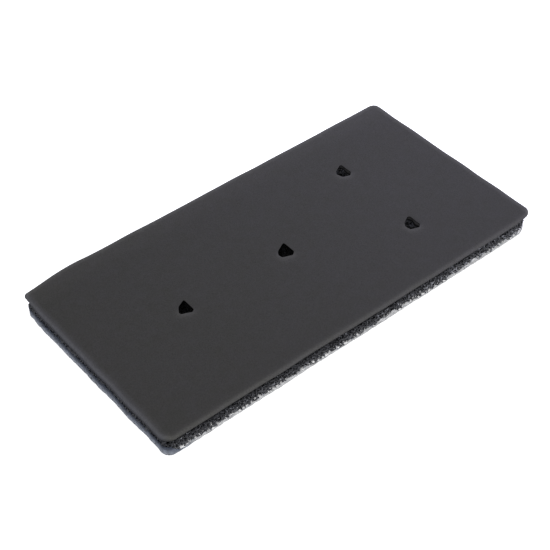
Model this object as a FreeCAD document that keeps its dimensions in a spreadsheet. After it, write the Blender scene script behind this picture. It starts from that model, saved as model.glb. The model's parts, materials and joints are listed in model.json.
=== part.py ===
import FreeCAD, Part
import os
import Sketcher

# A thin rectangular foam pad, in millimetres.
#
# A smooth, fine-celled facing sheet is bonded by a thin adhesive film to a thicker, coarse,
# open-celled backing sheet. Triangular locating holes are punched through all three: a row
# of holes along the middle, and a pair of holes side by side near the +X end.
#
# +Z is up and +X runs along the pad. The origin is on the surface that the pad lies on,
# under the centre of the facing sheet.

SIZES = {
    "pad_length": 240.0,
    "pad_width": 125.0,
    "facing_thickness": 2.4,
    "facing_corner_radius": 5.0,
    "facing_edge_radius": 2.0,
    # The backing is cut a little small, and lies a little askew under the facing.
    "backing_length": 238.4,
    "backing_width": 123.4,
    "backing_thickness": 9.4,
    "backing_corner_radius": 6.0,
    "backing_shift": -0.5,
    "backing_skew": 0.25,
    "film_thickness": 0.2,
    "film_margin": 0.8,
    # Each hole is an equilateral triangle that points towards -X. The row lies a little to
    # one side of the long centre line.
    "hole_side": 11.2,
    "hole_corner_radius": 1.8,
    "row_start": -63.2,
    "row_pitch": 64.2,
    "row_count": 2,
    "row_offset": -0.8,
    "pair_count": 2,
    "pair_position": 65.6,
    "pair_spacing": 55.0,
}

START_POINT, END_POINT = 1, 2
ORIGIN = (-1, 1)
THROUGH_ALL = "ThroughAll"
SMALL = 1e-6
VOLUME_TOLERANCE = 0.01


def add_size_sheet(doc):
    """The spreadsheet of driving dimensions: a name and a value in each row."""
    sheet = doc.addObject("Spreadsheet::Sheet", "sizes")
    for row, (name, value) in enumerate(SIZES.items(), start=1):
        sheet.set(f"A{row}", name)
        sheet.set(f"B{row}", str(value))
        sheet.setAlias(f"B{row}", name)
    doc.recompute()


def origin_feature(body, role):
    """A plane or an axis of the body's own origin."""
    return next(f for f in body.Origin.OriginFeatures if f.Role == role)


def add_sketch(body, name):
    """An empty sketch on the body's own XY plane."""
    sketch = body.newObject("Sketcher::SketchObject", name)
    sketch.AttachmentSupport = (origin_feature(body, "XY_Plane"), [""])
    sketch.MapMode = "FlatFace"
    return sketch


def add_closed_loop(sketch, corners):
    """Straight edges from each corner to the next and back to the first, joined end to end."""
    points = [FreeCAD.Vector(x, y, 0) for x, y in corners]
    edges = []
    for start, end in zip(points, points[1:] + points[:1]):
        edges.append(sketch.addGeometry(Part.LineSegment(start, end), False))
    for edge, following in zip(edges, edges[1:] + edges[:1]):
        join = Sketcher.Constraint("Coincident", edge, END_POINT, following, START_POINT)
        sketch.addConstraint(join)
    return edges


def add_dimension(sketch, name, expression, *constraint):
    """A dimension whose value follows an expression of the size sheet."""
    index = sketch.addConstraint(Sketcher.Constraint(*constraint))
    sketch.renameConstraint(index, name)
    sketch.setExpression(f"Constraints.{name}", expression)


def add_rectangle(sketch, length, width):
    """A rectangle centred on the sketch's origin."""
    lower, right, upper, left = add_closed_loop(
        sketch, [(-100, -50), (100, -50), (100, 50), (-100, 50)]
    )
    for edge in (lower, upper):
        sketch.addConstraint(Sketcher.Constraint("Horizontal", edge))
    for edge in (left, right):
        sketch.addConstraint(Sketcher.Constraint("Vertical", edge))
    centring = Sketcher.Constraint("Symmetric", lower, START_POINT, upper, START_POINT, *ORIGIN)
    sketch.addConstraint(centring)
    lower_ends, right_ends = (
        (edge, START_POINT, edge, END_POINT) for edge in (lower, right)
    )
    add_dimension(sketch, "length", length, "DistanceX", *lower_ends, 200.0)
    add_dimension(sketch, "width", width, "DistanceY", *right_ends, 100.0)


def add_triangle(sketch, centre_x, centre_y, side):
    """An equilateral triangle that points towards -X, placed by its centroid."""
    falling, upright, rising = add_closed_loop(sketch, [(-6, 0.5), (3, -5), (3, 5)])
    sketch.addConstraint(Sketcher.Constraint("Vertical", upright))
    sketch.addConstraint(Sketcher.Constraint("Equal", falling, rising))
    point, lower, upper = (falling, START_POINT), (upright, START_POINT), (upright, END_POINT)
    add_dimension(sketch, "side", side, "DistanceY", *lower, *upper, 10.0)
    add_dimension(sketch, "height", f"{side} * sqrt(3) / 2", "DistanceX", *point, *lower, 9.0)
    point_x = f"{centre_x} - {side} / sqrt(3)"
    add_dimension(sketch, "point_x", point_x, "DistanceX", *ORIGIN, *point, -6.0)
    add_dimension(sketch, "point_y", centre_y, "DistanceY", *ORIGIN, *point, 0.5)


def add_pad(doc, body, sketch, thickness):
    """The sheet of material itself, standing up from the sketch."""
    pad = body.newObject("PartDesign::Pad", f"{body.Name}_pad")
    pad.Profile = sketch
    pad.setExpression("Length", thickness)
    doc.recompute()
    return pad


def add_fillet(doc, body, name, radius, wanted):
    """Rounds each edge of the body's tip that wanted() picks."""
    base = body.Tip
    picked = [
        f"Edge{number}" for number, edge in enumerate(base.Shape.Edges, start=1) if wanted(edge)
    ]
    fillet = body.newObject("PartDesign::Fillet", f"{body.Name}_{name}")
    fillet.Base = (base, picked)
    fillet.setExpression("Radius", radius)
    doc.recompute()
    return fillet


def is_upright(edge):
    """True for a straight edge along Z."""
    box = edge.BoundBox
    return box.XLength < SMALL and box.YLength < SMALL and box.ZLength > SMALL


def add_punched_hole(doc, body, name, centre_x, centre_y):
    """One triangular hole right through the sheet."""
    sketch = add_sketch(body, f"{body.Name}_{name}_outline")
    add_triangle(sketch, centre_x, centre_y, "sizes.hole_side")
    hole = body.newObject("PartDesign::Pocket", f"{body.Name}_{name}")
    hole.Profile = sketch
    hole.Type = THROUGH_ALL
    hole.Reversed = True
    doc.recompute()
    return hole


def punch_holes(doc, body):
    """The row of holes, the pair of holes, and the radius that the punch leaves in their corners."""
    solid_volume = body.Shape.Volume
    thickness = body.Shape.BoundBox.ZLength

    row_hole = add_punched_hole(doc, body, "row_hole", "sizes.row_start", "sizes.row_offset")
    row = body.newObject("PartDesign::LinearPattern", f"{body.Name}_row")
    row.Originals = [row_hole]
    row.Direction = (origin_feature(body, "X_Axis"), [""])
    row.Mode = "Spacing"
    row.setExpression("Offset", "sizes.row_pitch")
    row.setExpression("Occurrences", "sizes.row_count")
    body.Tip = row
    doc.recompute()

    pair_hole = add_punched_hole(
        doc, body, "pair_hole", "sizes.pair_position", "sizes.pair_spacing / 2"
    )
    pair = body.newObject("PartDesign::Mirrored", f"{body.Name}_pair")
    pair.Originals = [pair_hole]
    pair.MirrorPlane = (origin_feature(body, "XZ_Plane"), [""])
    body.Tip = pair
    doc.recompute()

    hole_count = SIZES["row_count"] + SIZES["pair_count"]
    triangle_area = 3**0.5 / 4 * SIZES["hole_side"] ** 2
    expected = solid_volume - hole_count * triangle_area * thickness
    missing = abs(body.Shape.Volume - expected)
    assert missing < VOLUME_TOLERANCE, f"{body.Label}: the holes take {missing:.2f} mm3 too much or too little"

    reach = SIZES["hole_side"]
    half_length = body.Shape.BoundBox.XMax - reach
    half_width = body.Shape.BoundBox.YMax - reach

    def is_in_a_hole(edge):
        middle = edge.CenterOfMass
        return is_upright(edge) and abs(middle.x) < half_length and abs(middle.y) < half_width

    add_fillet(doc, body, "hole_corners", "sizes.hole_corner_radius", is_in_a_hole)


def add_body(doc, name, height):
    """A body that stands at a height given as an expression, or on the ground for None."""
    body = doc.addObject("PartDesign::Body", name)
    body.Label = name
    if height:
        body.setExpression("Placement.Base.z", height)
    return body


def lay_askew(sketch):
    """Moves and turns an outline in its own plane, as the backing lies under the facing."""
    sketch.setExpression("AttachmentOffset.Base.x", "sizes.backing_shift")
    sketch.setExpression("AttachmentOffset.Rotation.Angle", "sizes.backing_skew")


def make_backing_sheet(doc):
    """The thick sheet of coarse open-celled foam."""
    body = add_body(doc, "backing_sheet", None)
    outline = add_sketch(body, "backing_outline")
    add_rectangle(outline, "sizes.backing_length", "sizes.backing_width")
    lay_askew(outline)
    add_pad(doc, body, outline, "sizes.backing_thickness")
    add_fillet(doc, body, "corners", "sizes.backing_corner_radius", is_upright)
    punch_holes(doc, body)
    return body


def make_bond_film(doc):
    """The thin melted adhesive film, which stops a little short of the backing's edge."""
    body = add_body(doc, "bond_film", "sizes.backing_thickness")
    outline = add_sketch(body, "film_outline")
    add_rectangle(
        outline,
        "sizes.backing_length - 2 * sizes.film_margin",
        "sizes.backing_width - 2 * sizes.film_margin",
    )
    lay_askew(outline)
    add_pad(doc, body, outline, "sizes.film_thickness")
    corner_radius = "sizes.backing_corner_radius - sizes.film_margin"
    add_fillet(doc, body, "corners", corner_radius, is_upright)
    punch_holes(doc, body)
    return body


def make_facing_sheet(doc):
    """The thin sheet of fine-celled foam, its top edge eased all round."""
    body = add_body(doc, "facing_sheet", "sizes.backing_thickness + sizes.film_thickness")
    outline = add_sketch(body, "facing_outline")
    add_rectangle(outline, "sizes.pad_length", "sizes.pad_width")
    pad = add_pad(doc, body, outline, "sizes.facing_thickness")
    add_fillet(doc, body, "corners", "sizes.facing_corner_radius", is_upright)
    top = pad.Shape.BoundBox.ZMax

    def is_on_top(edge):
        return edge.BoundBox.ZMin > top - SMALL

    add_fillet(doc, body, "eased_edge", "sizes.facing_edge_radius", is_on_top)
    punch_holes(doc, body)
    return body


def check(doc, bodies):
    """Stops on any feature that failed and on any sub-part that isn't one valid solid."""
    doc.recompute()
    for item in doc.Objects:
        failed = {"Invalid", "Error"} & set(item.State)
        assert not failed, f"{item.Name} is {item.State}"
    for body in bodies:
        shape = body.Shape
        assert not shape.isNull() and shape.isValid(), f"{body.Label} has no valid shape"
        assert len(shape.Solids) == 1, f"{body.Label} isn't one solid"


def main():
    doc = FreeCAD.newDocument("foam_pad")
    add_size_sheet(doc)
    bodies = [make_backing_sheet(doc), make_bond_film(doc), make_facing_sheet(doc)]
    check(doc, bodies)
    os.makedirs("parts", exist_ok=True)
    for body in bodies:
        body.Shape.exportStep(f"parts/{body.Label}.step")
        box = body.Shape.BoundBox
        print(f"{body.Label}: volume {body.Shape.Volume:.1f} mm3, box {box}")


main()
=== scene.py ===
import itertools
import json
import math

import bpy
import numpy as np
from mathutils import Euler, Matrix, Vector
from mathutils.geometry import delaunay_2d_cdt


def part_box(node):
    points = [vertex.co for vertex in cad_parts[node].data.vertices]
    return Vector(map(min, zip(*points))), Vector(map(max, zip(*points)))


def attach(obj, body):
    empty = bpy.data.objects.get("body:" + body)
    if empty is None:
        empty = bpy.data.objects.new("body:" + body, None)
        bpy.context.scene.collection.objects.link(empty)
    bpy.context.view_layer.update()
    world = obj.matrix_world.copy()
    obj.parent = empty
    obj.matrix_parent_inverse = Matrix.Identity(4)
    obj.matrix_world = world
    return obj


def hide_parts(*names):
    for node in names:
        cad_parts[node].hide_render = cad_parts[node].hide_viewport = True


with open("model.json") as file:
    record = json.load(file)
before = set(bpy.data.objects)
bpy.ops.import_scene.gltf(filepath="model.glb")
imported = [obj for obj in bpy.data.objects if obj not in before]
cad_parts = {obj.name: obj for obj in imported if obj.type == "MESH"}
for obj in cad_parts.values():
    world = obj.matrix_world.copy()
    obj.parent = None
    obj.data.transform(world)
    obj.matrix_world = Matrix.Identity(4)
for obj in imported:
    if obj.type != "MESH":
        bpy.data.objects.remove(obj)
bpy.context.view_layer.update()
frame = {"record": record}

# A two-layer foam pad: a smooth fine-celled facing, bonded by a thin film of melted adhesive
# to a thicker backing of coarse open-celled foam, with four triangular holes through all three.
# Lengths are in metres.

MM = 0.001
SEED = 20

FACING_LOW, FACING_HIGH = np.array(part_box("facing_sheet"))
FILM_LOW, FILM_HIGH = np.array(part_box("bond_film"))
BACKING_LOW, BACKING_HIGH = np.array(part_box("backing_sheet"))
HOLE_CENTRES = [
    np.array(mount["pos_m"][:2])
    for mount in frame["record"]["mounts"]
    if "hole" in mount["name"]
]

BACKING_SKEW = math.radians(0.25)


# ---- Outlines: convex closed curves, given anticlockwise

class Outline:
    """A convex closed curve: the edge of a sheet, or of a hole in one."""

    def __init__(self, points, is_hole=False):
        self.points = np.asarray(points, float)
        self.is_hole = is_hole
        along = np.roll(self.points, -1, axis=0) - self.points
        self.lengths = np.linalg.norm(along, axis=1)
        along /= self.lengths[:, None]
        self.normals = np.column_stack([along[:, 1], -along[:, 0]])

    def walk(self, step):
        """Points at most a step apart round the curve, and the outward directions there."""
        points, directions = [], []
        count = len(self.points)
        for i in range(count):
            start, end = self.points[i], self.points[(i + 1) % count]
            corner = self.normals[i - 1] + self.normals[i]
            pieces = max(1, math.ceil(self.lengths[i] / step))
            for piece in range(pieces):
                points.append(start + piece / pieces * (end - start))
                direction = self.normals[i] if piece else corner / np.linalg.norm(corner)
                directions.append(direction)
        return np.array(points), np.array(directions)

    def distance(self, points):
        """How far each point lies outside the curve; less than 0 is inside."""
        farthest = np.full(len(points), -np.inf)
        for corner, normal in zip(self.points, self.normals):
            farthest = np.maximum(farthest, (points[:, :2] - corner) @ normal)
        return farthest


def rounded_rectangle(low, high, radii, skew=0.0):
    """
    A rectangle turned by the skew, which fills the box from low to high. The radii are for the
    corners at -X -Y, +X -Y, +X +Y and -X +Y.
    """
    centre = (low[:2] + high[:2]) / 2
    half = (high[:2] - low[:2]) / 2
    typical = np.median(radii)
    turn = np.array([[math.cos(skew), -math.sin(skew)], [math.sin(skew), math.cos(skew)]])
    half = np.linalg.solve(np.abs(turn), half - typical) + typical
    points = []
    signs = [(-1, -1), (1, -1), (1, 1), (-1, 1)]
    for number, (sign, radius) in enumerate(zip(signs, radii)):
        middle = np.array(sign) * (half - radius)
        first = math.pi + number * math.pi / 2
        for angle in np.linspace(first, first + math.pi / 2, 9):
            points.append(middle + radius * np.array([math.cos(angle), math.sin(angle)]))
    return Outline(centre + np.array(points) @ turn.T)


# Straight cuts bound a hole, and face these ways in degrees from +X: three long sides, and the
# blunt corners between them. How far each is from the hole's middle, in mm, differs a little,
# because foam tears differently at each stroke of the punch.
HOLE_CUTS = (0, 60, 118, 148, 190, 250, 310)
HOLE_REACHES = (
    (2.95, 6.2, 3.25, 2.95, 4.3, 3.8, 4.5),
    (2.9, 5.7, 3.4, 4.1, 5.3, 4.8, 4.4),
    (2.5, 5.0, 3.5, 4.5, 5.2, 5.3, 4.1),
    (2.2, 5.2, 4.3, 4.8, 5.4, 4.5, 3.4),
)
# How sharply one cut turns into the next.
HOLE_SHARPNESS = 20
# How far the punch pressed in each hole's +X side, and how far that wall leans inwards.
HOLE_SUNK = (0.05 * MM, 0.05 * MM, 0.3 * MM, 0.4 * MM)
HOLE_LEAN = (0.0, 0.0, 1.7 * MM, 2.1 * MM)


def punched_hole(centre, reach):
    """A triangular hole that points towards -X, with blunt corners, as a punch leaves it in foam."""
    points = []
    for angle in np.arange(48) / 48 * 2 * math.pi:
        facing = [max(0.0, math.cos(angle - math.radians(cut))) for cut in HOLE_CUTS]
        total = sum((f / r) ** HOLE_SHARPNESS for f, r in zip(facing, reach))
        radius = total ** (-1 / HOLE_SHARPNESS)
        points.append(centre + radius * np.array([math.cos(angle), math.sin(angle)]))
    return Outline(points, is_hole=True)


def make_holes(grown=(0, 0, 0, 0)):
    """The outlines of the four holes, each grown all round by so many mm in the lower layers."""
    return [
        punched_hole(centre, (np.array(reach) + more) * MM)
        for centre, reach, more in zip(HOLE_CENTRES, HOLE_REACHES, grown)
    ]


FACING_RADII = (6 * MM, 4.6 * MM, 4.5 * MM, 3 * MM)
BACKING_RADII = (4.2 * MM, 7 * MM, 6 * MM, 4.5 * MM)
FACING_OUTLINE = rounded_rectangle(FACING_LOW, FACING_HIGH, FACING_RADII)
BACKING_OUTLINE = rounded_rectangle(BACKING_LOW, BACKING_HIGH, BACKING_RADII, BACKING_SKEW)


# ---- Uneven surfaces

def lumps(points, size, seed):
    """Smooth random values of about -1 to 1, whose lumps are about as big as size."""
    rng = np.random.default_rng(seed)
    total = np.zeros(len(points))
    count = 9
    for _ in range(count):
        direction = rng.normal(size=points.shape[1])
        direction *= rng.uniform(0.6, 1.5) * math.pi / size / np.linalg.norm(direction)
        total += np.sin(points @ direction + rng.uniform(0, 2 * math.pi))
    return total / math.sqrt(count / 2) / 1.6


def smooth_step(value, start, end):
    """0 before start, 1 after end, and a smooth change between them."""
    share = np.clip((value - start) / (end - start), 0, 1)
    return share * share * (3 - 2 * share)


def rising_share(value, start, end, least):
    """The least share before start, 1 after end, and a smooth change between them."""
    return least + (1 - least) * smooth_step(value, start, end)


def fading(distance, width):
    """1 where the distance is 0 or less, and almost 0 from two widths on."""
    return np.exp(-((np.maximum(distance, 0) / width) ** 2))


# How the real pad was cut. Its +Y edge swells a little, and then runs in towards the -X end.
SWELL = 0.6 * MM
SWELL_FROM_END = 33 * MM
SWELL_WIDTH = 8 * MM
BACK_RUN_IN = 3.0 * MM
# How far the -X edge runs in at that corner, and the -Y edge at the +X end: the backing, the
# facing, and how much further its lower side.
END_RUN_IN, FACING_END_RUN_IN, END_UNDERCUT = 0.7 * MM, 0.15 * MM, 1.3 * MM
FRONT_RUN_IN, FACING_FRONT_RUN_IN, FRONT_UNDERCUT = 1.1 * MM, 1.35 * MM, 0.4 * MM
# How far every edge and face wanders, and over what length.
EDGE_WANDER, EDGE_WANDER_LENGTH = 0.14 * MM, 14 * MM
FACE_WANDER, FACE_WANDER_LENGTH = 0.10 * MM, 22 * MM


def as_cut(points):
    """The points moved as the real pad was cut, a little out of true."""
    points = np.asarray(points, float)
    x, y, z = points.T
    from_end = x - FACING_LOW[0]
    in_facing = z > FACING_LOW[2] - 0.05 * MM
    undercut = in_facing * (1 - smooth_step(z, FACING_LOW[2], FACING_HIGH[2]))

    swell = SWELL * fading(np.abs(from_end - SWELL_FROM_END), SWELL_WIDTH)
    run_in = BACK_RUN_IN * (1 - smooth_step(from_end, -4 * MM, 27 * MM))
    back = (swell - run_in) * smooth_step(y, 25 * MM, FACING_HIGH[1])

    end = np.where(in_facing, FACING_END_RUN_IN, END_RUN_IN) + END_UNDERCUT * undercut
    end *= smooth_step(y, 46 * MM, FACING_HIGH[1]) * (1 - smooth_step(from_end, 0, 18 * MM))

    front = np.where(in_facing, FACING_FRONT_RUN_IN, FRONT_RUN_IN) + FRONT_UNDERCUT * undercut
    front *= smooth_step(-y, 40 * MM, FACING_HIGH[1])
    front *= smooth_step(x, FACING_HIGH[0] - 16 * MM, FACING_HIGH[0])

    flat = points[:, :2]
    wander_x = EDGE_WANDER * lumps(flat, EDGE_WANDER_LENGTH, seed=5)
    wander_y = EDGE_WANDER * lumps(flat, EDGE_WANDER_LENGTH, seed=6)
    height = np.clip(z / FACING_HIGH[2], 0, 1)
    wander_z = FACE_WANDER * lumps(flat, FACE_WANDER_LENGTH, seed=7) * height
    return points + np.column_stack([end + wander_x, back + front + wander_y, wander_z])


# ---- Meshes

def make_object(name, vertices, triangles, material, **layers):
    """A mesh object. Each layer gives its material a number for every vertex."""
    mesh = bpy.data.meshes.new(name)
    mesh.vertices.add(len(vertices))
    mesh.vertices.foreach_set("co", np.asarray(vertices, np.float32).ravel())
    mesh.loops.add(3 * len(triangles))
    mesh.loops.foreach_set("vertex_index", np.asarray(triangles, np.int32).ravel())
    mesh.polygons.add(len(triangles))
    mesh.polygons.foreach_set("loop_start", np.arange(0, 3 * len(triangles), 3, dtype=np.int32))
    mesh.polygons.foreach_set("use_smooth", np.full(len(triangles), True))
    mesh.update(calc_edges=True)
    for layer_name, values in layers.items():
        layer = mesh.attributes.new(layer_name, "FLOAT", "POINT")
        layer.data.foreach_set("value", np.asarray(values, np.float32))
    mesh.validate()
    mesh.materials.append(material)
    made = bpy.data.objects.new(name, mesh)
    bpy.context.scene.collection.objects.link(made)
    return made


def grid_points(outlines, spacing, margin, rng):
    """Slightly scattered points that fill the sheet inside its outlines."""
    low = outlines[0].points.min(axis=0)
    high = outlines[0].points.max(axis=0)
    rows = np.arange(low[1], high[1], spacing * math.sqrt(3) / 2)
    points = []
    for number, y in enumerate(rows):
        x = np.arange(low[0] + (number % 2) * spacing / 2, high[0], spacing)
        points.append(np.column_stack([x, np.full(len(x), y)]))
    points = np.concatenate(points)
    points += rng.uniform(-0.18, 0.18, points.shape) * spacing
    kept = np.full(len(points), True)
    for outline in outlines:
        distance = outline.distance(points)
        kept &= distance > margin if outline.is_hole else distance < -margin
    return points[kept]


def triangulate(rings, inner_points):
    """Triangles over the rings' points and the inner points, in that order, with holes left open."""
    points = np.concatenate([*rings, inner_points])
    edges, start = [], 0
    ring_of = np.full(len(points), -1)
    for number, ring in enumerate(rings):
        indices = np.arange(start, start + len(ring))
        edges += zip(indices.tolist(), np.roll(indices, -1).tolist())
        ring_of[indices] = number
        start += len(ring)
    _, _, faces, sources, *_ = delaunay_2d_cdt([Vector(p) for p in points], edges, [], 1, 1e-9)
    source = np.array([s[0] for s in sources])
    triangles = source[np.array(faces)]
    first, second, third = (ring_of[triangles[:, i]] for i in range(3))
    in_a_hole = (first > 0) & (first == second) & (second == third)
    triangles = triangles[~in_a_hole]
    a, b, c = (points[triangles[:, i]] for i in range(3))
    side, other = b - a, c - a
    clockwise = side[:, 0] * other[:, 1] - side[:, 1] * other[:, 0] < 0
    triangles[clockwise] = triangles[clockwise][:, ::-1]
    return triangles


def band(below, above, count):
    """Triangles between two closed rings of so many vertices, given the first index of each."""
    around = np.arange(count)
    following = np.roll(around, -1)
    first = np.column_stack([below + around, below + following, above + following])
    second = np.column_stack([below + around, above + following, above + around])
    return np.concatenate([first, second])


def closed_sheet(outlines, rims, spacings, step, rng):
    """
    A closed sheet with holes. A rim is a list of (inset, height) from the lower face to the
    upper face, one for each outline; the spacings are for the lower and the upper face.
    """
    vertices, triangles, lower_rings, upper_rings = [], [], [], []
    ring_start = 0
    lower_index, upper_index = [], []
    for outline, rim in zip(outlines, rims):
        points, directions = outline.walk(step if not outline.is_hole else step / 2)
        inward = directions if outline.is_hole else -directions
        count = len(points)
        for inset, height in rim:
            ring = points + inset * inward
            vertices.append(np.column_stack([ring, np.full(count, height)]))
        around = np.arange(count)
        for level in range(len(rim) - 1):
            below = ring_start + level * count
            walls = band(below, below + count, count)
            triangles.append(walls[:, ::-1] if outline.is_hole else walls)
        lower_rings.append(vertices[-len(rim)][:, :2])
        upper_rings.append(vertices[-1][:, :2])
        lower_index.append(ring_start + around)
        upper_index.append(ring_start + (len(rim) - 1) * count + around)
        ring_start += len(rim) * count
    faces = [
        (lower_rings, lower_index, spacings[0], rims[0][0][1], True),
        (upper_rings, upper_index, spacings[1], rims[0][-1][1], False),
    ]
    for rings, index, spacing, height, turned_over in faces:
        margin = 0.6 * spacing + max(rim[0 if turned_over else -1][0] for rim in rims)
        inner = grid_points(outlines, spacing, margin, rng)
        inner_index = ring_start + np.arange(len(inner))
        vertices.append(np.column_stack([inner, np.full(len(inner), height)]))
        ring_start += len(inner)
        face = np.concatenate([*index, inner_index])[triangulate(rings, inner)]
        triangles.append(face[:, ::-1] if turned_over else face)
    return np.concatenate(vertices), np.concatenate(triangles)


def rounded_edge(high, radius, steps):
    """Rim points that turn from an upright side to the upper face."""
    angles = np.linspace(0, math.pi / 2, steps + 1)
    return [(radius * (1 - math.cos(a)), high - radius * (1 - math.sin(a))) for a in angles]


def rounded_rim(low, high, lower_radius, upper_radius, steps):
    """Rim points from the lower face to the upper face, with both edges rounded."""
    lower = [(inset, low + high - z) for inset, z in rounded_edge(high, lower_radius, 2)]
    return lower[::-1] + rounded_edge(high, upper_radius, steps)


# ---- Materials

class Nodes:
    """A new material with a Principled shader, and short ways to add nodes to it."""

    def __init__(self, name):
        self.material = bpy.data.materials.new(name)
        self.material.use_nodes = True
        self.tree = self.material.node_tree
        self.tree.nodes.clear()
        self.shader = self.add("ShaderNodeBsdfPrincipled")
        output = self.add("ShaderNodeOutputMaterial")
        self.link(self.shader.outputs["BSDF"], output.inputs["Surface"])
        self.place = self.add("ShaderNodeTexCoord").outputs["Object"]

    def add(self, kind, **settings):
        node = self.tree.nodes.new(kind)
        for name, value in settings.items():
            setattr(node, name, value)
        return node

    def link(self, source, target):
        self.tree.links.new(source, target)

    def finish(self, colour, rough, roughness, gloss):
        """Sets the shader's colour and gloss, and a roughness that varies with the noise."""
        self.link(colour, self.shader.inputs["Base Color"])
        self.link(self.remap(rough, 0.3, 0.7, *roughness), self.shader.inputs["Roughness"])
        self.shader.inputs["Specular IOR Level"].default_value = gloss
        return self.material

    def layer(self, name):
        """The number that the mesh gives each vertex."""
        return self.add("ShaderNodeAttribute", attribute_name=name).outputs["Fac"]

    def toned(self, colour):
        """The colour made paler or darker by the mesh's tone, which carries painted light and shade."""
        return self.scale_colour(colour, self.layer("tone"))

    def noise(self, size, detail=3):
        """Noise whose lumps are about as big as size."""
        node = self.add("ShaderNodeTexNoise")
        node.inputs["Scale"].default_value = 1 / size
        node.inputs["Detail"].default_value = detail
        node.inputs["Roughness"].default_value = 0.55
        self.link(self.place, node.inputs["Vector"])
        return node.outputs["Fac"]

    def cells(self, size):
        """The distance to the middle of the nearest foam cell, for cells about as big as size."""
        node = self.add("ShaderNodeTexVoronoi")
        node.inputs["Scale"].default_value = 1 / size
        self.link(self.place, node.inputs["Vector"])
        return node.outputs["Distance"]

    def remap(self, value, *limits):
        """The value moved from between the first two limits to between the last two."""
        node = self.add("ShaderNodeMapRange")
        for name, limit in zip(("From Min", "From Max", "To Min", "To Max"), limits):
            node.inputs[name].default_value = limit
        self.link(value, node.inputs["Value"])
        return node.outputs["Result"]

    def math(self, operation, first, second):
        node = self.add("ShaderNodeMath", operation=operation)
        for socket, value in zip(node.inputs, (first, second)):
            if isinstance(value, (int, float)):
                socket.default_value = value
            else:
                self.link(value, socket)
        return node.outputs[0]

    def ramp(self, value, *stops):
        """Colours at places from 0 to 1."""
        node = self.add("ShaderNodeValToRGB")
        ramp = node.color_ramp
        while len(ramp.elements) < len(stops):
            ramp.elements.new(0.5)
        for element, (place, colour) in zip(ramp.elements, stops):
            element.position = place
            element.color = (*colour, 1)
        self.link(value, node.inputs["Fac"])
        return node.outputs["Color"]

    def scale_colour(self, colour, factor):
        """The colour made lighter or darker by a factor that varies over the surface."""
        node = self.add("ShaderNodeVectorMath", operation="SCALE")
        self.link(colour, node.inputs[0])
        self.link(factor, node.inputs["Scale"])
        return node.outputs["Vector"]

    def bump(self, *heights):
        """Relief from (height, distance in metres, strength) items, coarsest first."""
        normal = None
        for height, distance, strength in heights:
            node = self.add("ShaderNodeBump")
            node.inputs["Distance"].default_value = distance
            node.inputs["Strength"].default_value = strength
            self.link(height, node.inputs["Height"])
            if normal:
                self.link(normal, node.inputs["Normal"])
            normal = node.outputs["Normal"]
        self.link(normal, self.shader.inputs["Normal"])


def fine_foam():
    """Matt charcoal foam with cells of about half a millimetre."""
    nodes = Nodes("fine_foam")
    cells = nodes.cells(0.55 * MM)
    grain = nodes.noise(0.9 * MM, detail=4)
    mottle = nodes.noise(6 * MM)
    broad = nodes.noise(45 * MM, detail=2)
    # Painted light: the colour is a little paler and bluer towards +X, nearer the bluish side lamp.
    along = nodes.add("ShaderNodeSeparateXYZ")
    nodes.link(nodes.place, along.inputs[0])
    painted_light_gradient = nodes.remap(along.outputs["X"], FACING_LOW[0], FACING_HIGH[0], -0.25, 0.25)
    patches = nodes.math("ADD", nodes.math("MULTIPLY", mottle, 0.7), nodes.math("MULTIPLY", broad, 0.3))
    tone = nodes.math("ADD", patches, painted_light_gradient)
    dark, pale = (0.0211, 0.0208, 0.0195), (0.0248, 0.0242, 0.0262)
    colour = nodes.ramp(tone, (0.1, dark), (0.9, pale))
    pores = nodes.remap(cells, 0.05, 0.45, 0.72, 1.06)
    grains = nodes.remap(grain, 0.3, 0.7, 0.9, 1.1)
    shade = nodes.math("MULTIPLY", pores, grains)
    # Painted bluish light: the -X edge is bluish.
    painted_blue_edge = nodes.remap(along.outputs["X"], FACING_LOW[0] - MM, FACING_LOW[0] + 4 * MM, 1, 0)
    untinted, bluish = (1, 1, 1), (0.97, 1.0, 1.22)
    tint = nodes.ramp(painted_blue_edge, (0.0, untinted), (1.0, bluish))
    tinted = nodes.add("ShaderNodeVectorMath", operation="MULTIPLY")
    nodes.link(nodes.scale_colour(colour, shade), tinted.inputs[0])
    nodes.link(tint, tinted.inputs[1])
    nodes.bump((grain, 0.12 * MM, 0.5), (cells, 0.12 * MM, 0.6))
    return nodes.finish(nodes.toned(tinted.outputs["Vector"]), grain, (0.8, 0.95), gloss=0.05)


def coarse_foam():
    """Blue-black foam struts, less matt than the facing."""
    nodes = Nodes("coarse_foam")
    patches = nodes.noise(4 * MM)
    broad = nodes.noise(30 * MM, detail=2)
    tone = nodes.math("ADD", nodes.math("MULTIPLY", patches, 0.6), nodes.math("MULTIPLY", broad, 0.4))
    dark, pale = (0.021, 0.0214, 0.0240), (0.036, 0.0367, 0.0400)
    colour = nodes.ramp(tone, (0.3, dark), (0.7, pale))
    return nodes.finish(nodes.toned(colour), patches, (0.45, 0.7), gloss=0.04)


def deep_foam():
    """The depth of the backing, seen between its outer struts and in the holes, darker than the struts
    with painted shade.
    """
    nodes = Nodes("deep_foam")
    cells = nodes.cells(2.2 * MM)
    patches = nodes.noise(1.5 * MM)
    dark, pale = (0.010, 0.010, 0.012), (0.024, 0.0245, 0.030)
    colour = nodes.ramp(cells, (0.1, dark), (0.6, pale))
    nodes.bump((cells, 1.0 * MM, 1.0), (patches, 0.3 * MM, 0.6))
    return nodes.finish(nodes.toned(colour), patches, (0.6, 0.9), gloss=0.04)


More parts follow.
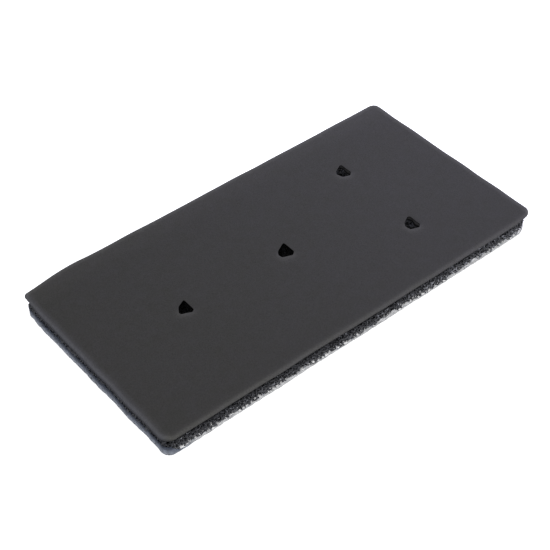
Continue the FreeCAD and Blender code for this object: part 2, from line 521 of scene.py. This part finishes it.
def loose_fibres():
    """Fine torn fibres of the coarse foam: dark, bluish grey or pale by painted light from the floor
    below them.
    """
    nodes = Nodes("loose_fibres")
    clumps = nodes.noise(1.6 * MM, detail=4)
    cells = nodes.cells(2.4 * MM)
    # Paler and bluer than the struts: painted bluish light, and painted light from the floor where
    # pale.
    foam, bluish, pale = (0.076, 0.087, 0.118), (0.168, 0.182, 0.212), (0.42, 0.42, 0.425)
    colour = nodes.ramp(nodes.layer("dust"), (0.0, foam), (0.42, bluish), (1.0, pale))
    clump_shade = nodes.remap(clumps, 0.3, 0.65, 0.62, 1.08)
    shade = nodes.math("MULTIPLY", clump_shade, nodes.remap(cells, 0.1, 0.6, 0.85, 1.1))
    nodes.bump((clumps, 0.3 * MM, 0.6))
    shaded = nodes.toned(nodes.scale_colour(colour, shade))
    return nodes.finish(shaded, clumps, (0.75, 0.95), gloss=0.04)


def hot_melt():
    """Dull black melted adhesive."""
    nodes = Nodes("hot_melt")
    smears = nodes.noise(2.5 * MM)
    dark, pale = (0.014, 0.014, 0.016), (0.03, 0.03, 0.034)
    colour = nodes.ramp(smears, (0.3, dark), (0.7, pale))
    nodes.bump((smears, 0.1 * MM, 0.5))
    return nodes.finish(colour, smears, (0.45, 0.65), gloss=0.1)


def table_top():
    """A plain off-white surface."""
    nodes = Nodes("table_top")
    grain = nodes.noise(20 * MM)
    dark, pale = (0.86, 0.86, 0.865), (0.88, 0.88, 0.885)
    colour = nodes.ramp(grain, (0.2, dark), (0.8, pale))
    return nodes.finish(colour, grain, (0.8, 0.8), gloss=0.2)


# ---- The facing sheet

EDGE_RADIUS = 2.0 * MM
# The side on which the punch left each hole's lip raised, how wide the lip is, how high all
# round, how much higher on that side, and how uneven.
LIP_SIDE = np.array([-0.62, -0.78])
LIP_WIDTH = 2.2 * MM
LIP_LEAST = 0.06 * MM
LIP_MORE = 0.38 * MM
LIP_UNEVENNESS = 0.25


def facing_edge(low, high):
    """The sheet's cut edge from the lower face up: a soft round shoulder."""
    return [(0.5 * MM, low), (0.18 * MM, low + 0.12 * MM), *rounded_edge(high, EDGE_RADIUS, 8)]


# Painted light by the way along the surface, in mm: a painted highlight outward and down from where the
# round shoulder starts, and painted shade down into a punched hole.
SHOULDER_WAY = (-1.8, 0.0, 0.8, 1.6, 2.2, 2.8, 3.3)
SHOULDER_PAINTED_HIGHLIGHT = (1.0, 1.08, 1.38, 2.0, 2.3, 2.1, 1.3)
HOLE_WAY = (0.0, 0.25, 0.8, 2.4)
HOLE_WALL_PAINTED_SHADE = (1.0, 0.75, 0.35, 0.2)
# How much further inward the painted shoulder highlight reaches at the -X edge, and at the +X and +Y
# edges, and where that fades out.
HIGHLIGHT_FURTHER_IN = 0.75 * MM
HIGHLIGHT_FURTHEST_IN = 1.0 * MM
HIGHLIGHT_FADES = (3 * MM, 5 * MM)
# The painted light and shade down a hole's wall where it leans inwards, and the painted shade added on
# the face beside it.
LEANING_WALL_PAINTED_LIGHT = (1.2, 1.15, 0.9, 0.8)
LEANING_SIDE_PAINTED_SHADE = -0.2
LEANING_SIDE_WIDTH = 0.9 * MM
# The painted highlight added on a raised lip, and towards the +Y edge.
LIP_PAINTED_HIGHLIGHT = 0.5
FAR_EDGE_PAINTED_HIGHLIGHT = 0.14
FAR_EDGE_WAY = (44 * MM, 60 * MM)


def outward_from(vertices, hole):
    """The direction of each vertex from the middle of a hole."""
    outward = vertices[:, :2] - hole.points.mean(axis=0)
    return outward / np.linalg.norm(outward, axis=1)[:, None]


def lip_facing(vertices, hole):
    """1 on the side of a hole where its lip is highest, and 0 on the other side."""
    return np.clip(outward_from(vertices, hole) @ LIP_SIDE, 0, 1)


def facing_tone(vertices, holes, high):
    """How pale each vertex of the flat sheet is: painted highlights on its shoulders and lips, and
    painted shade down its holes.
    """
    drop = high - vertices[:, 2]
    inset = -FACING_OUTLINE.distance(vertices)
    tilt = np.arccos(np.clip(1 - drop / EDGE_RADIUS, 0, 1))
    round_way = EDGE_RADIUS * tilt + np.maximum(drop - EDGE_RADIUS, 0)
    way = np.where(inset > EDGE_RADIUS, EDGE_RADIUS - inset, round_way)
    way += HIGHLIGHT_FURTHER_IN * (1 - smooth_step(vertices[:, 0] - FACING_LOW[0], *HIGHLIGHT_FADES))
    from_far_edge = np.min(FACING_HIGH[:2] - vertices[:, :2], axis=1)
    way += HIGHLIGHT_FURTHEST_IN * (1 - smooth_step(from_far_edge, *HIGHLIGHT_FADES))
    tone = np.interp(way / MM, SHOULDER_WAY, SHOULDER_PAINTED_HIGHLIGHT)
    tone += FAR_EDGE_PAINTED_HIGHLIGHT * smooth_step(vertices[:, 1], *FAR_EDGE_WAY) * (drop < EDGE_RADIUS)
    for hole, lean in zip(holes, HOLE_LEAN):
        distance = hole.distance(vertices)
        lip = lip_facing(vertices, hole) * fading(distance, LIP_WIDTH)
        wall = (distance < 3 * MM) & (drop > 0)
        wall_tone = LEANING_WALL_PAINTED_LIGHT if lean else HOLE_WALL_PAINTED_SHADE
        tone[wall] = np.interp(drop[wall] / MM, HOLE_WAY, wall_tone)
        tone += LIP_PAINTED_HIGHLIGHT * lip * (drop < 0.3 * MM)
        if lean:
            side = np.clip(outward_from(vertices, hole)[:, 0], 0, 1)
            tone += LEANING_SIDE_PAINTED_SHADE * side * fading(distance, LEANING_SIDE_WIDTH) * (drop == 0)
    return tone


def punched_edge(low, high):
    """A hole's edge from the lower face up. Foam springs back, so a hole is wider in the middle."""
    thickness = high - low
    rim = [
        (1.1 * MM, low),
        (1.3 * MM, low + 0.3 * thickness),
        (0.9 * MM, low + 0.6 * thickness),
        (0.3 * MM, low + 0.82 * thickness),
        (0.02 * MM, low + 0.93 * thickness),
        (0.08 * MM, low + 0.98 * thickness),
        (0.25 * MM, high),
    ]
    for inset in (0.6, 1.0, 1.5, 2.1, 2.8):
        rim.append((inset * MM, high))
    return rim


def raise_lips(vertices, holes, low, high):
    """Lifts the upper face round each hole where the punch pulled it up, and sinks its +X side."""
    upper = smooth_step(vertices[:, 2], low + 0.6 * (high - low), high)
    for number, (hole, sunk) in enumerate(zip(holes, HOLE_SUNK)):
        outward = outward_from(vertices, hole)
        lift = LIP_LEAST + LIP_MORE * lip_facing(vertices, hole) ** 1.5
        lift *= 1 + LIP_UNEVENNESS * lumps(outward, 1.3, seed=40 + number)
        sinking = sunk * np.clip(outward[:, 0], 0, 1)
        near = fading(hole.distance(vertices), LIP_WIDTH)
        vertices[:, 2] += upper * (lift - sinking) * near


def lean_walls(vertices, holes, low, high):
    """Leans the +X walls of some holes inwards, where the torn foam hangs into the hole."""
    depth = np.clip((high - vertices[:, 2]) / (high - low), 0, 1)
    for hole, lean in zip(holes, HOLE_LEAN):
        outward = outward_from(vertices, hole)
        wall = hole.distance(vertices) < 1.5 * MM
        # The walls beside the +X one lean a little too.
        inwards = lean * depth * np.clip(outward[:, 0] + 0.2, 0, 1) * wall
        vertices[:, :2] -= inwards[:, None] * outward


def make_facing():
    """The smooth sheet on top."""
    rng = np.random.default_rng(SEED)
    low, high = FACING_LOW[2], FACING_HIGH[2]
    holes = make_holes()
    rims = [facing_edge(low, high)] + [punched_edge(low, high)] * len(holes)
    spacings, step = (3 * MM, 1.4 * MM), 1.2 * MM
    vertices, triangles = closed_sheet([FACING_OUTLINE, *holes], rims, spacings, step, rng)
    tone = facing_tone(vertices, holes, high)
    lean_walls(vertices, holes, low, high)
    raise_lips(vertices, holes, low, high)
    return make_object("facing_sheet_foam", as_cut(vertices), triangles, fine_foam(), tone=tone)


# ---- The backing sheet: a network of struts round a middle dark with painted shade

# The foam's lattice, turned so that the cuts don't follow its planes: how far each joint is from
# its place, as a share of a strut, and how the whole lattice waves.
CELL = 3.6 * MM
LATTICE_TURN = (0.41, 0.63, 0.37)
JOINT_SCATTER = 0.32
WAVE = 0.35 * MM
WAVE_LENGTH = 19 * MM
# How deep the struts go from the sides, the ground and the holes.
SHELL_DEPTH = 5.0 * MM
SHELL_FLOOR = 2.2 * MM
SHELL_AT_HOLES = 1.4 * MM
# The struts' radius at a joint, and how much it varies.
STRUT_RADIUS = 0.43 * MM
STRUT_VARIATION = (0.8, 1.25)
# The least share that is left of a strut that was cut through.
STRUT_STUMP = 0.02
# The share of the network's square windows that still have a skin of foam, how much it varies
# from place to place, and how much higher it is at the smooth end.
SKINNED_WINDOWS = 0.5
SKIN_CLUSTERING = 0.45
SKIN_CLUSTER = 7 * MM
SMOOTH_END_SKINS = 0.4
SKIN_THICKNESS = 0.12 * MM
# How much larger a skin is than its window, to meet the struts.
SKIN_SIZE = 1.04
# How uneven the cut sides are, and how far in the struts stop at the smooth end.
RAGGED = 0.25 * MM
RAGGED_LENGTH = 2.6 * MM
SMOOTH_END_TRIM = 0.25 * MM
# The tear in the lower edge fades out between these depths from the side.
TORN_DEPTH = (0.6 * MM, 3.6 * MM)
# Torn foam partly fills the last two holes in the backing.
BACKING_HOLES = make_holes(grown=(1.0, 1.0, -0.8, -0.8))
# Painted shade on the struts and the core inside each hole, lighter in the last two to even out their
# shade, and over what distance that fades.
HOLE_STRUT_PAINTED_SHADE = (0.08, 0.08, 0.42, 0.42)
HOLE_CORE_PAINTED_SHADE = (0.08, 0.08, 1.6, 1.4)
HOLE_TONE_REACH = 5 * MM
# How pale the foam is elsewhere, and the painted light added towards the +X end and the painted bounce
# light added at the ground.
BACKING_TONE = 1.2
TOWARDS_END_PAINTED_LIGHT = 0.6
TOWARDS_END_WAY = (-10 * MM, 100 * MM)
NEAR_GROUND_PAINTED_BOUNCE = 2.1
# What a pale speck, a painted glint, adds to that at the +X end, its share at the -X end, and its size.
SPECK_PAINTED_GLINT = 9
SPECK_LEAST_SHARE = 0.4
SPECK_SIZE = 1.8 * MM
# How far the lowest foam is above the ground.
GROUND_GAP = 0.02 * MM
# The dark core: how far it is inside the sides and the smooth end and above the ground, and how
# much lower it is at that end and round the holes.
CORE_INSET = 4.4 * MM
CORE_END_INSET = 1.0 * MM
CORE_FLOOR = 2.0 * MM
CORE_LOWERED = 1.8 * MM
# The fringe: how far it stands out from the cut side, how far it overlaps the struts above it,
# how low it may be, and how uneven its top and its face are.
FRINGE_THICKNESS = 0.4 * MM
FRINGE_PROUD = 0.25 * MM
FRINGE_OVERLAP = 0.4 * MM
FRINGE_LEAST = 0.1 * MM
FRINGE_RAGGED = 0.3 * MM
FRINGE_ROUGHNESS = 0.12 * MM
# The smooth end: how high it is, how far inside the cut side it is, how pale with painted light from
# the floor at the ground, and how much darker with painted shade at its top.
SMOOTH_FACE_HEIGHT = 5.5 * MM
SMOOTH_FACE_INSET = 0.1 * MM
SMOOTH_FACE_PAINTED_LIGHT = 0.5
SMOOTH_FACE_PAINTED_SHADE = 0.65


def backing_depth(points):
    """How far each point is inside the backing's sides, and outside its nearest hole."""
    side = -BACKING_OUTLINE.distance(points)
    hole = np.min([outline.distance(points) for outline in BACKING_HOLES], axis=0)
    return side, hole


def smooth_cut(points):
    """1 along the -X end, which a sharper knife left smooth, and 0 elsewhere."""
    return 1 - smooth_step(points[:, 0] - BACKING_LOW[0], 2 * MM, 9 * MM)


def torn_height(points):
    """How high the knife tore the lower edge into loose fibres: unevenly, and less near -X."""
    flat = points[:, :2]
    fine = 1.1 * MM * lumps(flat, 3.6 * MM, seed=22)
    broad = 0.9 * MM * lumps(flat, 10 * MM, seed=24)
    height = np.clip(0.8 * MM + fine + broad, 0, 3.0 * MM)
    return height * rising_share(flat[:, 0] - BACKING_LOW[0], 6 * MM, 18 * MM, least=0.4)


def lattice_nodes():
    """The 12 joints in one cube of the foam's lattice, in quarters of the cube."""
    nodes = []
    for _, halfway, last in itertools.permutations(range(3)):
        for quarters in (1, 3):
            node = [0, 0, 0]
            node[halfway] = 2
            node[last] = quarters
            nodes.append(tuple(node))
    return nodes


def lattice_steps(nodes):
    """For each joint of the cube, the four steps to the joints that struts join it to."""
    diagonals = []
    for axis in range(3):
        for step in itertools.product((-1, 1), repeat=2):
            diagonals.append((*step[:axis], 0, *step[axis:]))

    def is_strut(node, step):
        return tuple((a + b) % 4 for a, b in zip(node, step)) in nodes

    return np.array([[step for step in diagonals if is_strut(node, step)] for node in nodes])


def lattice_windows():
    """The four joints round each square window of one cube, in quarters of the cube."""
    windows = []
    for axis in range(3):
        across, first, second = np.roll(np.eye(3, dtype=int), -axis, axis=0)
        for middle in (2 * across, 2 * (first + second)):
            windows.append([middle + first, middle + second, middle - first, middle - second])
    return np.array(windows)


def foam_network(rng):
    """Joint positions, each joint's four neighbours or -1, and the joints round each skinned window."""
    turn = np.array(Euler(LATTICE_TURN).to_matrix())
    margin = 2
    low = BACKING_LOW - margin * CELL
    high = BACKING_HIGH + margin * CELL
    corners = np.array(list(itertools.product(*zip(low, high))))
    in_lattice = corners @ turn / CELL
    first = np.floor(in_lattice.min(axis=0)).astype(int)
    last = np.ceil(in_lattice.max(axis=0)).astype(int)
    ranges = [np.arange(a, b + 1) for a, b in zip(first, last)]
    cubes = np.stack(np.meshgrid(*ranges, indexing="ij"), axis=-1).reshape(-1, 3)
    middles = (cubes + 0.5) * CELL @ turn.T
    kept = np.all((middles > low) & (middles < high), axis=1)
    cubes, middles = cubes[kept], middles[kept]
    side, hole = backing_depth(middles)
    reach = 1.2 * CELL
    shell = (side < SHELL_DEPTH + reach) | (middles[:, 2] < SHELL_FLOOR + reach)
    shell |= hole < SHELL_AT_HOLES + reach
    cubes = cubes[shell & (side > -reach) & (hole > -reach)]

    base = np.array(lattice_nodes())
    steps = lattice_steps(lattice_nodes())
    whole = (cubes[:, None, :] * 4 + base[None, :, :]).reshape(-1, 3)
    kinds = np.tile(np.arange(len(base)), len(cubes))

    shift = 4 * (first - margin)
    spans = 4 * (last - first + 2 * margin + 1)

    def key(places):
        """One whole number for each place in the lattice."""
        return np.ravel_multi_index(tuple(np.moveaxis(places - shift, -1, 0)), spans)

    keys = key(whole)
    order = np.argsort(keys)
    whole, kinds, keys = whole[order], kinds[order], keys[order]

    def find(places):
        """The index of the joint at each place, or -1."""
        wanted = key(places)
        found = np.clip(np.searchsorted(keys, wanted), 0, len(keys) - 1)
        return np.where(keys[found] == wanted, found, -1)

    neighbours = find(whole[:, None, :] + steps[kinds])
    windows = find(cubes[:, None, None, :] * 4 + lattice_windows()[None]).reshape(-1, 4)
    windows = windows[np.all(windows >= 0, axis=1)]

    edge = CELL * math.sqrt(2) / 4
    positions = whole * (CELL / 4) @ turn.T
    positions += rng.uniform(-JOINT_SCATTER, JOINT_SCATTER, positions.shape) * edge
    for axis in range(3):
        way = 2 * math.pi * positions[:, (axis + 1) % 3] / WAVE_LENGTH
        positions[:, axis] += WAVE * np.sin(way + 1.3 * axis)
    places = positions[windows[:, 0]]
    share = SKINNED_WINDOWS + SKIN_CLUSTERING * lumps(places, SKIN_CLUSTER, seed=23)
    share += SMOOTH_END_SKINS * smooth_cut(places)
    windows = windows[rng.random(len(windows)) < share]
    return positions, neighbours, windows


def window_slabs(positions, windows):
    """A thin closed slab across each window of the network, which four joints surround."""
    corners = positions[windows]
    middle = corners.mean(axis=1, keepdims=True)
    corners = middle + SKIN_SIZE * (corners - middle)
    across = np.cross(corners[:, 2] - corners[:, 0], corners[:, 3] - corners[:, 1])
    across *= SKIN_THICKNESS / 2 / np.linalg.norm(across, axis=1)[:, None]
    sides = np.concatenate([corners + across[:, None], corners - across[:, None]], axis=1)
    start = 8 * np.arange(len(windows))[:, None, None]
    faces = [(0, 1, 2), (0, 2, 3), (4, 6, 5), (4, 7, 6)]
    for i in range(4):
        j = (i + 1) % 4
        faces += [(i, 4 + i, 4 + j), (i, 4 + j, j)]
    triangles = (start + np.array(faces)).reshape(-1, 3)
    middles = np.repeat(middle[:, 0], len(faces), axis=0)
    return sides.reshape(-1, 3), triangles, middles


def strut_mesh(positions, neighbours, windows, rng):
    """The struts and skins inside the cut faces, as closed surfaces, and each triangle's middle."""
    count = len(positions)
    side, hole = backing_depth(positions)
    at_end = smooth_cut(positions)
    ragged = RAGGED * lumps(positions, RAGGED_LENGTH, seed=21) * (1 - at_end)
    ragged -= SMOOTH_END_TRIM * at_end
    torn = torn_height(positions) * (1 - smooth_step(side, *TORN_DEPTH)) * (1 - at_end)
    inside = np.minimum.reduce([
        side + ragged,
        hole + ragged,
        positions[:, 2] - BACKING_LOW[2] - torn,
        BACKING_HIGH[2] - positions[:, 2],
    ])
    in_shell = (side < SHELL_DEPTH) | (positions[:, 2] < SHELL_FLOOR) | (hole < SHELL_AT_HOLES)
    complete = np.all(neighbours >= 0, axis=1)
    usable = complete & (inside > 0)

    directions = positions[neighbours] - positions[:, None, :]
    directions /= np.linalg.norm(directions, axis=2)[:, :, None] + 1e-12
    radius = STRUT_RADIUS * rng.uniform(*STRUT_VARIATION, count)
    # A joint is a small tetrahedron, with one vertex opposite to each of its four struts.
    tetrahedra = positions[:, None, :] - radius[:, None, None] * directions

    joint, slot = np.nonzero((neighbours >= 0) & usable[:, None])
    other = neighbours[joint, slot]
    other_slot = np.argmax(neighbours[other] == joint[:, None], axis=1)
    wanted = in_shell[joint] | in_shell[other]
    whole_strut = wanted & usable[other] & (joint < other)
    cut_strut = wanted & ~(inside[other] > 0)

    used = np.zeros(count, bool)
    used[joint[whole_strut | cut_strut]] = True
    used[other[whole_strut]] = True
    number = np.cumsum(used) - 1
    vertices = [tetrahedra[used].reshape(-1, 3)]
    vertex_count = 4 * int(used.sum())
    triangles, middles = [], []
    open_face = np.zeros((count, 4), bool)

    others = np.array([[j for j in range(4) if j != i] for i in range(4)])

    def ring(joints, slots):
        """The three vertices of a joint's face round one strut, in order about its direction."""
        three = others[slots]
        a, b, c = (tetrahedra[joints, three[:, i]] for i in range(3))
        facing = np.sum(np.cross(b - a, c - a) * directions[joints, slots], axis=1) > 0
        three = np.where(facing[:, None], three, three[:, ::-1])
        return number[joints][:, None] * 4 + three, tetrahedra[joints[:, None], three]

    def add_walls(near, far, where):
        """Three sides from the near ring to the far ring, which match one to one."""
        for i in range(3):
            j = (i + 1) % 3
            triangles.append(np.column_stack([near[:, i], near[:, j], far[:, j]]))
            triangles.append(np.column_stack([near[:, i], far[:, j], far[:, i]]))
            middles.extend([where, where])

    # Struts between two joints: the far ring runs the other way about its own direction.
    j0, s0 = joint[whole_strut], slot[whole_strut]
    j1, s1 = other[whole_strut], other_slot[whole_strut]
    near, near_points = ring(j0, s0)
    far, far_points = ring(j1, s1)
    far, far_points = far[:, ::-1], far_points[:, ::-1]
    near_spokes = near_points - near_points.mean(axis=1, keepdims=True)
    far_spokes = far_points - far_points.mean(axis=1, keepdims=True)
    turned = [np.roll(far_spokes, -turn, axis=1) for turn in range(3)]
    best = np.argmax([np.sum(near_spokes * spokes, axis=(1, 2)) for spokes in turned], axis=0)
    columns = (np.arange(3)[None, :] + best[:, None]) % 3
    far = np.take_along_axis(far, columns, axis=1)
    add_walls(near, far, (positions[j0] + positions[j1]) / 2)
    open_face[j0, s0] = True
    open_face[j1, s1] = True

    # Struts cut through by the knife: they end flat where they meet the cut face.
    j0, s0, j1 = joint[cut_strut], slot[cut_strut], other[cut_strut]
    share = inside[j0] / (inside[j0] - np.minimum(inside[j1], -1e-6))
    share = np.clip(share, STRUT_STUMP, 1)
    near, near_points = ring(j0, s0)
    travel = (positions[j1] - positions[j0]) * share[:, None]
    ends = near_points + travel[:, None, :]
    vertices.append(ends.reshape(-1, 3))
    far = vertex_count + np.arange(3 * len(j0)).reshape(-1, 3)
    vertex_count += 3 * len(j0)
    add_walls(near, far, positions[j0])
    triangles.append(far)
    middles.append(positions[j0])
    open_face[j0, s0] = True

    # A joint's faces that carry no strut are closed.
    j0, s0 = np.nonzero(used[:, None] & ~open_face)
    near, _ = ring(j0, s0)
    triangles.append(near)
    middles.append(positions[j0])

    skinned = windows[np.all(used[windows], axis=1)]
    slab_vertices, slab_triangles, slab_middles = window_slabs(positions, skinned)
    vertices.append(slab_vertices)
    triangles.append(slab_triangles + vertex_count)
    middles.append(slab_middles)

    return np.concatenate(vertices), np.concatenate(triangles), np.concatenate(middles)


def dusty_specks(points):
    """How much paler the painted glints make the struts, as pale specks. There are more of them towards
    +X.
    """
    ends = BACKING_LOW[0], BACKING_HIGH[0]
    likelihood = lumps(points, SPECK_SIZE, seed=26) + 0.5 * smooth_step(points[:, 0], *ends)
    strength = SPECK_PAINTED_GLINT * rising_share(points[:, 0], *ends, SPECK_LEAST_SHARE)
    return strength * (1 - smooth_cut(points)) * smooth_step(likelihood, 1.0, 1.3)


def backing_tone(points, hole_painted_shades):
    """How pale the coarse foam is: painted bounce light near the ground, painted light towards +X,
    painted glints, and painted shade in the holes.
    """
    lowness = np.clip(1 - points[:, 2] / BACKING_HIGH[2], 0, 1)
    tone = BACKING_TONE + TOWARDS_END_PAINTED_LIGHT * smooth_step(points[:, 0], *TOWARDS_END_WAY)
    tone += NEAR_GROUND_PAINTED_BOUNCE * lowness ** 1.5 + dusty_specks(points)
    for outline, hole_painted_shade in zip(BACKING_HOLES, hole_painted_shades):
        near = 1 - smooth_step(outline.distance(points), 0, HOLE_TONE_REACH)
        tone += (hole_painted_shade - tone) * near
    return tone


def make_backing_struts(pieces=5):
    rng = np.random.default_rng(SEED + 1)
    positions, neighbours, windows = foam_network(rng)
    vertices, triangles, middles = strut_mesh(positions, neighbours, windows, rng)
    # The sheet was cut flat where it lies on the ground.
    vertices[:, 2] = np.maximum(vertices[:, 2], BACKING_LOW[2] + GROUND_GAP)
    material = coarse_foam()
    bounds = np.linspace(BACKING_LOW[0], BACKING_HIGH[0], pieces + 1)
    number = np.clip(np.searchsorted(bounds, middles[:, 0]) - 1, 0, pieces - 1)
    made = []
    for piece in range(pieces):
        chosen = triangles[number == piece]
        used, renumbered = np.unique(chosen, return_inverse=True)
        name = f"backing_sheet_struts_{piece + 1}"
        shape = vertices[used]
        tone = backing_tone(shape, HOLE_STRUT_PAINTED_SHADE)
        made.append(make_object(name, as_cut(shape), renumbered.reshape(-1, 3), material, tone=tone))
    return made


def make_backing_core():
    """The middle of the backing, behind its outer struts, dark with painted shade."""
    rng = np.random.default_rng(SEED + 2)
    low = BACKING_LOW[2] + CORE_FLOOR
    high = BACKING_HIGH[2] - 0.05 * MM
    smooth_end = np.array([CORE_INSET - CORE_END_INSET, 0, 0])
    corners = BACKING_LOW + CORE_INSET - smooth_end, BACKING_HIGH - CORE_INSET
    outline = rounded_rectangle(*corners, [3 * MM] * 4, BACKING_SKEW)
    outlines = [outline, *make_holes(grown=(1.3, 1.3, 0.4, 0.4))]
    rims = [rounded_rim(low, high, 1.0 * MM, 0.5 * MM, 3)] * len(outlines)
    vertices, triangles = closed_sheet(outlines, rims, (2 * MM, 4 * MM), 1.6 * MM, rng)
    share = 1 - smooth_step(vertices[:, 2], low, high)
    _, hole = backing_depth(vertices)
    at_holes = 1 - smooth_step(hole, 3 * MM, 8 * MM)
    at_end = smooth_cut(vertices)
    unevenness = 0.5 * MM * lumps(vertices, RAGGED_LENGTH, seed=31)
    lowered = CORE_LOWERED * np.maximum(at_holes, at_end)
    vertices[:, 2] += (unevenness * (1 - at_end) * (1 - at_holes) - lowered) * share
    tone = backing_tone(vertices, HOLE_CORE_PAINTED_SHADE)
    return make_object("backing_sheet_core", as_cut(vertices), triangles, deep_foam(), tone=tone)


def make_backing_fringe():
    """
    The fringe of fine loose fibres left where the knife tore the lower edge. It is pale with painted
    light from the floor.
    At the smooth -X end it is the cut face itself, pale with painted light only near the ground and
    darker with painted shade at its top.
    """
    points, outward = BACKING_OUTLINE.walk(0.45 * MM)
    count = len(points)
    at_end = smooth_cut(points)
    # Painted light from the floor on the fringe, less towards -X.
    dusty = rising_share(points[:, 0] - BACKING_LOW[0], 7 * MM, 20 * MM, least=0.45)
    torn = torn_height(points)
    height = (torn + FRINGE_OVERLAP) * (1 - at_end) + SMOOTH_FACE_HEIGHT * at_end
    height += FRINGE_RAGGED * lumps(points, 1.7 * MM, seed=33)
    height += FRINGE_RAGGED * lumps(points, 0.8 * MM, seed=35)
    height = np.maximum(height, FRINGE_LEAST)
    levels = np.linspace(0, 1, 9)
    profile = [(0, level) for level in levels] + [(1, level) for level in levels[::-1]]
    vertices, dust = [], []
    for depth, level in profile:
        z = BACKING_LOW[2] + GROUND_GAP + level * height
        rings = np.column_stack([points, z])
        out = FRINGE_PROUD - (FRINGE_PROUD + SMOOTH_FACE_INSET) * at_end
        out += FRINGE_ROUGHNESS * lumps(rings, 1.9 * MM, seed=34) - depth * FRINGE_THICKNESS
        rings[:, :2] += out[:, None] * outward
        vertices.append(rings)
        # Painted light from the floor near the ground on the torn sides and the smooth end.
        side_dust = dusty * (1 - smooth_step(z - torn, FRINGE_OVERLAP, 3 * FRINGE_OVERLAP))
        end_dust = SMOOTH_FACE_PAINTED_LIGHT * (1 - smooth_step(z, 0, SMOOTH_FACE_HEIGHT))
        dust.append(side_dust * (1 - at_end) + end_dust * at_end)
    vertices, dust = np.concatenate(vertices), np.concatenate(dust)
    # Painted shade at the top of the smooth end, under the facing.
    shade = SMOOTH_FACE_PAINTED_SHADE * smooth_step(vertices[:, 2], 2 * MM, SMOOTH_FACE_HEIGHT)
    tone = 1 - shade * smooth_cut(vertices)
    rows = len(profile)
    triangles = [band(row * count, (row + 1) % rows * count, count) for row in range(rows)]
    cut, triangles = as_cut(vertices), np.concatenate(triangles)
    return make_object("backing_sheet_fringe", cut, triangles, loose_fibres(), tone=tone, dust=dust)


def make_film():
    """The melted adhesive between the two foams."""
    rng = np.random.default_rng(SEED + 3)
    outline = rounded_rectangle(FILM_LOW, FILM_HIGH, [5.2 * MM] * 4, BACKING_SKEW)
    holes = make_holes(grown=(1.2, 1.2, 0.2, 0.2))
    low, high = FILM_LOW[2], FILM_HIGH[2]
    rims = [rounded_rim(low, high, 0.08 * MM, 0.08 * MM, 2)] * (1 + len(holes))
    vertices, triangles = closed_sheet([outline, *holes], rims, (3 * MM, 3 * MM), 2 * MM, rng)
    return make_object("bond_film_layer", as_cut(vertices), triangles, hot_melt())


# ---- Stage, lights and camera

def make_floor():
    """The pale surface that the pad lies on."""
    size = 3.0
    vertices = [(-size, -size, 0), (size, -size, 0), (size, size, 0), (-size, size, 0)]
    floor = make_object("table", vertices, [(0, 1, 2), (0, 2, 3)], table_top())


def add_light(name, place, width, power, colour=(1, 1, 1)):
    """A square soft light that faces the middle of the pad's underside."""
    data = bpy.data.lights.new(name, "AREA")
    data.size = width
    data.energy = power
    data.color = colour
    light = bpy.data.objects.new(name, data)
    light.location = place
    light.rotation_euler = (-Vector(place)).to_track_quat("-Z", "Y").to_euler()
    light.visible_camera = False
    bpy.context.scene.collection.objects.link(light)


def make_lights():
    """Even pale light, a large lamp above, and a small bluish one beyond the +X end."""
    world = bpy.data.worlds.new("studio")
    bpy.context.scene.world = world
    world.use_nodes = True
    background = world.node_tree.nodes["Background"]
    background.inputs["Color"].default_value = (0.97, 0.98, 1.0, 1)
    background.inputs["Strength"].default_value = 0.55
    add_light("front", (-1.40, -1.36, 3.48), width=1.6, power=171)
    add_light("side", (0.34, 0.14, 0.34), width=0.3, power=2.6, colour=(0.85, 0.84, 1.0))


CAMERA_AZIMUTH = math.radians(-38.386)
CAMERA_ELEVATION = math.radians(44.296)
CAMERA_ROLL = math.radians(-1.2975)
CAMERA_DISTANCE = 0.6762
CAMERA_AIM = (-0.01454, -0.01126)
LENS_LENGTH = 87.99
SENSOR_WIDTH = 36


def make_camera():
    """The camera, above and outside the pad's -X -Y corner."""
    aim = Vector((*CAMERA_AIM, FACING_HIGH[2]))
    back = Vector((
        math.sin(CAMERA_AZIMUTH) * math.cos(CAMERA_ELEVATION),
        -math.cos(CAMERA_AZIMUTH) * math.cos(CAMERA_ELEVATION),
        math.sin(CAMERA_ELEVATION),
    ))
    data = bpy.data.cameras.new("camera")
    data.lens = LENS_LENGTH
    data.sensor_width = SENSOR_WIDTH
    camera = bpy.data.objects.new("camera", data)
    upright = (-back).to_track_quat("-Z", "Y").to_matrix()
    rolled = upright @ Matrix.Rotation(CAMERA_ROLL, 3, "Z")
    camera.rotation_euler = rolled.to_euler()
    camera.location = aim + back * CAMERA_DISTANCE
    bpy.context.scene.collection.objects.link(camera)
    bpy.context.scene.camera = camera


def main():
    facing = make_facing()
    film = make_film()
    core = make_backing_core()
    fringe = make_backing_fringe()
    struts = make_backing_struts()
    for piece in (facing, film, core, fringe, *struts):
        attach(piece, "root")
    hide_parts("facing_sheet")
    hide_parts("bond_film")
    for piece in (core, fringe, *struts):
        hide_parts("backing_sheet")
    make_floor()
    make_lights()
    make_camera()
    bpy.context.scene.view_settings.view_transform = "Standard"


main()
